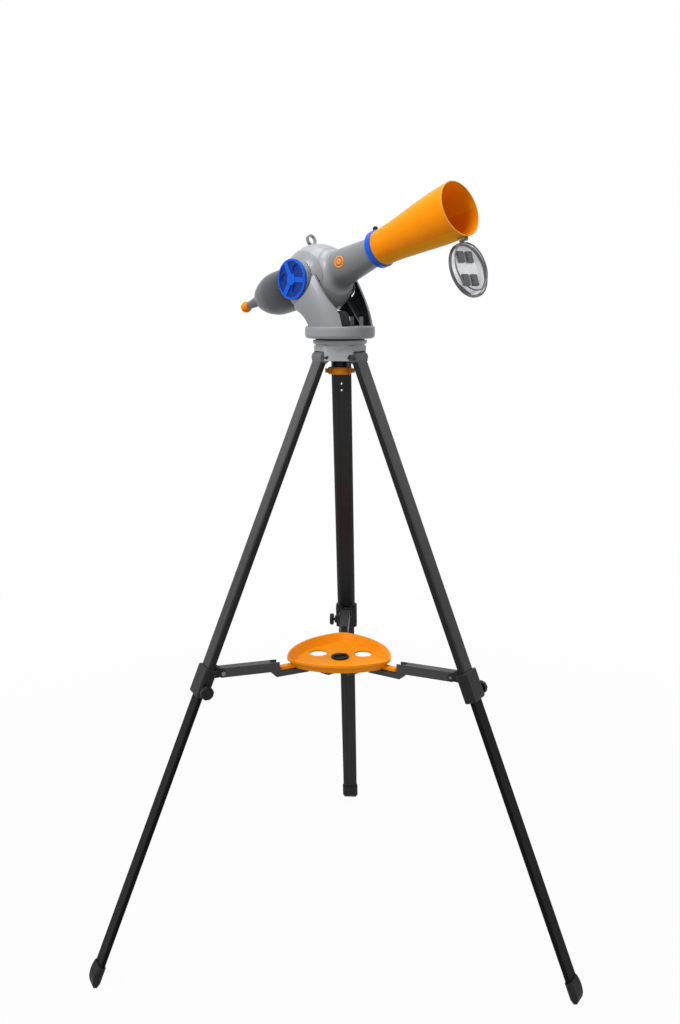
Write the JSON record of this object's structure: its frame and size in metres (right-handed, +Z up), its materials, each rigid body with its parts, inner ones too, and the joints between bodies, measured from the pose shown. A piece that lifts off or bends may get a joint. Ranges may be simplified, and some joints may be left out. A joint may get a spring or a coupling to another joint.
{
  "type": "telescope on tripod",
  "caption": "Small refracting telescope in a fork mount on a folding tripod, with a flared hood, hinged lens cap, rear prism bulb, sliding leg tubes, spreader arms and a dished accessory tray",
  "frame": {"origin": "middle of the bounding box on the plane the feet stand on", "axes": "+Z up, +X toward the right leg side in front view, +Y away from the front; the telescope heads to the front right"},
  "size_m": [0.8268, 0.7386, 1.3038],
  "materials": {
    "head_grey": "satin moulded plastic",
    "fork_grey": "light grey satin moulded plastic",
    "tube_grey": "mid grey satin moulded plastic",
    "orange_plastic": "semi-gloss orange",
    "blue_plastic": "semi-gloss blue",
    "leg_tube": "dark painted extrusion",
    "leg_inner": "dark anodised",
    "black_plastic": "black moulded plastic",
    "foot_rubber": "matt black rubber",
    "steel": "plated steel",
    "spreader_black": "black moulded plastic",
    "cap_silver": "bright metallised plastic",
    "cap_block_grey": "grey plastic",
    "glass": "coated glass",
    "inner_black": "flocked black",
    "hinge_gold": "dark brass",
    "hood_lip": "bright lip",
    "washer_black": "nylon"
  },
  "bodies": {
    "head": {"tripod_head": "head_grey", "leg_hinge_pins": "steel", "pan_washer": "washer_black"},
    "fork": {"fork_base": "fork_grey", "fork_arm_near": "fork_grey", "fork_arm_far": "fork_grey", "fork_screws": "steel"},
    "pan_clamp": {"pan_clamp_knob": "orange_plastic", "pan_clamp_collar": "black_plastic"},
    "tube": {"ball_and_tube": "tube_grey", "prism_housing": "tube_grey", "prism_block": "glass", "prism_cradle": "inner_black", "tube_ring": "blue_plastic", "tube_baffle": "inner_black", "lens_hood": "orange_plastic", "hood_rim": "hood_lip", "lens_cell": "inner_black", "objective_lens": "glass", "sight_ring": "cap_silver", "front_bead": "black_plastic", "cap_bracket": "hinge_gold", "tilt_bolt": "steel"},
    "tilt_clamp": {"tilt_knob": "blue_plastic"},
    "eyepiece": {"eyepiece_barrel": "tube_grey", "eye_lens": "glass", "field_lens": "glass", "eyecup": "orange_plastic"},
    "cap": {"lens_cap": "cap_silver", "cap_blocks": "cap_block_grey"},
    "spreader": {"spreader_hub": "spreader_black", "accessory_tray": "orange_plastic"},
    "tray_lock": {"tray_knob": "black_plastic"},
    "leg_rear": {"leg_upper_rear": "leg_tube", "leg_knuckle_rear": "black_plastic", "leg_rivets_rear": "steel", "leg_collar_rear": "black_plastic", "arm_pin_rear": "steel"},
    "lower_rear": {"leg_lower_rear": "leg_inner", "foot_rear": "foot_rubber"},
    "lock_rear": {"leg_lock_rear": "black_plastic"},
    "arm_rear": {"spreader_arm_rear": "spreader_black"},
    "leg_left": {"leg_upper_left": "leg_tube", "leg_knuckle_left": "black_plastic", "leg_rivets_left": "steel", "leg_collar_left": "black_plastic", "arm_pin_left": "steel"},
    "lower_left": {"leg_lower_left": "leg_inner", "foot_left": "foot_rubber"},
    "lock_left": {"leg_lock_left": "black_plastic"},
    "arm_left": {"spreader_arm_left": "spreader_black"},
    "leg_right": {"leg_upper_right": "leg_tube", "leg_knuckle_right": "black_plastic", "leg_rivets_right": "steel", "leg_collar_right": "black_plastic", "arm_pin_right": "steel"},
    "lower_right": {"leg_lower_right": "leg_inner", "foot_right": "foot_rubber"},
    "lock_right": {"leg_lock_right": "black_plastic"},
    "arm_right": {"spreader_arm_right": "spreader_black"}
  },
  "joints": [
    {"name": "leg_fold_rear", "type": "hinge", "parent": "head", "child": "leg_rear", "pos_m": [0.01344, -0.06539, 1.03699], "axis": [-0.9987, 0.0516, 0], "range_deg": [0, 6.6]},
    {"name": "leg_slide_rear", "type": "slide", "parent": "leg_rear", "child": "lower_rear", "axis": [-0.0198, -0.3838, 0.9232], "range_m": [0, 0.42]},
    {"name": "leg_lock_turn_rear", "type": "hinge", "parent": "leg_rear", "child": "lock_rear", "pos_m": [0.05309, 0.15921, 0.49322], "axis": [0.9987, -0.0516, 0], "range_deg": [0, 270]},
    {"name": "arm_fold_rear", "type": "hinge", "parent": "leg_rear", "child": "arm_rear", "pos_m": [0.02325, 0.12436, 0.5155], "axis": [-0.9987, 0.0516, 0], "range_deg": [0, 47.51]},
    {"name": "leg_fold_left", "type": "hinge", "parent": "head", "child": "leg_left", "pos_m": [-0.02049, -0.11771, 1.03699], "axis": [0.4546, -0.8907, 0], "range_deg": [0, 6.6]},
    {"name": "leg_slide_left", "type": "slide", "parent": "leg_left", "child": "lower_left", "axis": [0.3423, 0.1747, 0.9232], "range_m": [0, 0.42]},
    {"name": "leg_lock_turn_left", "type": "hinge", "parent": "leg_left", "child": "lock_left", "pos_m": [-0.23482, -0.19567, 0.49322], "axis": [-0.4546, 0.8907, 0], "range_deg": [0, 270]},
    {"name": "arm_fold_left", "type": "hinge", "parent": "leg_left", "child": "arm_left", "pos_m": [-0.18972, -0.20408, 0.5155], "axis": [0.4546, -0.8907, 0], "range_deg": [0, 47.51]},
    {"name": "leg_fold_right", "type": "hinge", "parent": "head", "child": "leg_right", "pos_m": [0.04178, -0.12093, 1.03699], "axis": [0.5441, 0.8391, 0], "range_deg": [0, 6.6]},
    {"name": "leg_slide_right", "type": "slide", "parent": "leg_right", "child": "lower_right", "axis": [-0.3224, 0.2091, 0.9232], "range_m": [0, 0.42]},
    {"name": "leg_lock_turn_right", "type": "hinge", "parent": "leg_right", "child": "lock_right", "pos_m": [0.21647, -0.26757, 0.49322], "axis": [-0.5441, -0.8391, 0], "range_deg": [0, 270]},
    {"name": "arm_fold_right", "type": "hinge", "parent": "leg_right", "child": "arm_right", "pos_m": [0.2012, -0.2243, 0.5155], "axis": [0.5441, 0.8391, 0], "range_deg": [0, 47.51]},
    {"name": "spreader_lift", "type": "slide", "parent": "head", "child": "spreader", "axis": [0, 0, 1], "range_m": [0, 0.15242]},
    {"name": "tray_knob_turn", "type": "hinge", "parent": "spreader", "child": "tray_lock", "pos_m": [0.01158, -0.10134, 0.50399], "axis": [0, 0, 1], "range_deg": [0, 90]},
    {"name": "pan", "type": "hinge", "parent": "head", "child": "fork", "pos_m": [0.01158, -0.10134, 1.068], "axis": [0, 0, 1], "continuous": true},
    {"name": "pan_clamp_turn", "type": "hinge", "parent": "fork", "child": "pan_clamp", "pos_m": [0.01158, -0.10134, 1.01999], "axis": [0, 0, 1], "range_deg": [0, 180]},
    {"name": "tilt", "type": "hinge", "parent": "fork", "child": "tube", "pos_m": [-0.02432, -0.06582, 1.1643], "axis": [-0.7034, -0.7108, 0], "range_deg": [-33, 31.5]},
    {"name": "tilt_knob_turn", "type": "hinge", "parent": "tube", "child": "tilt_clamp", "pos_m": [-0.06582, -0.10776, 1.1643], "axis": [-0.7034, -0.7108, 0], "range_deg": [0, 270]},
    {"name": "eyepiece_slide", "type": "slide", "parent": "tube", "child": "eyepiece", "axis": [-0.6749, 0.6678, -0.314], "range_m": [0, 0.012]},
    {"name": "cap_hinge", "type": "hinge", "parent": "tube", "child": "cap", "pos_m": [0.19637, -0.28421, 1.21916], "axis": [-0.7034, -0.7108, 0], "range_deg": [0, 180]}
  ],
  "couplings": [
    {"joint": "leg_fold_left", "follows": "leg_fold_rear", "ratio": 1},
    {"joint": "leg_fold_right", "follows": "leg_fold_rear", "ratio": 1},
    {"joint": "arm_fold_rear", "follows": "leg_fold_rear", "ratio": 7.1975},
    {"joint": "arm_fold_left", "follows": "leg_fold_rear", "ratio": 7.1975},
    {"joint": "arm_fold_right", "follows": "leg_fold_rear", "ratio": 7.1975},
    {"joint": "spreader_lift", "follows": "leg_fold_rear", "m_per_rad": 1.3223}
  ]
}
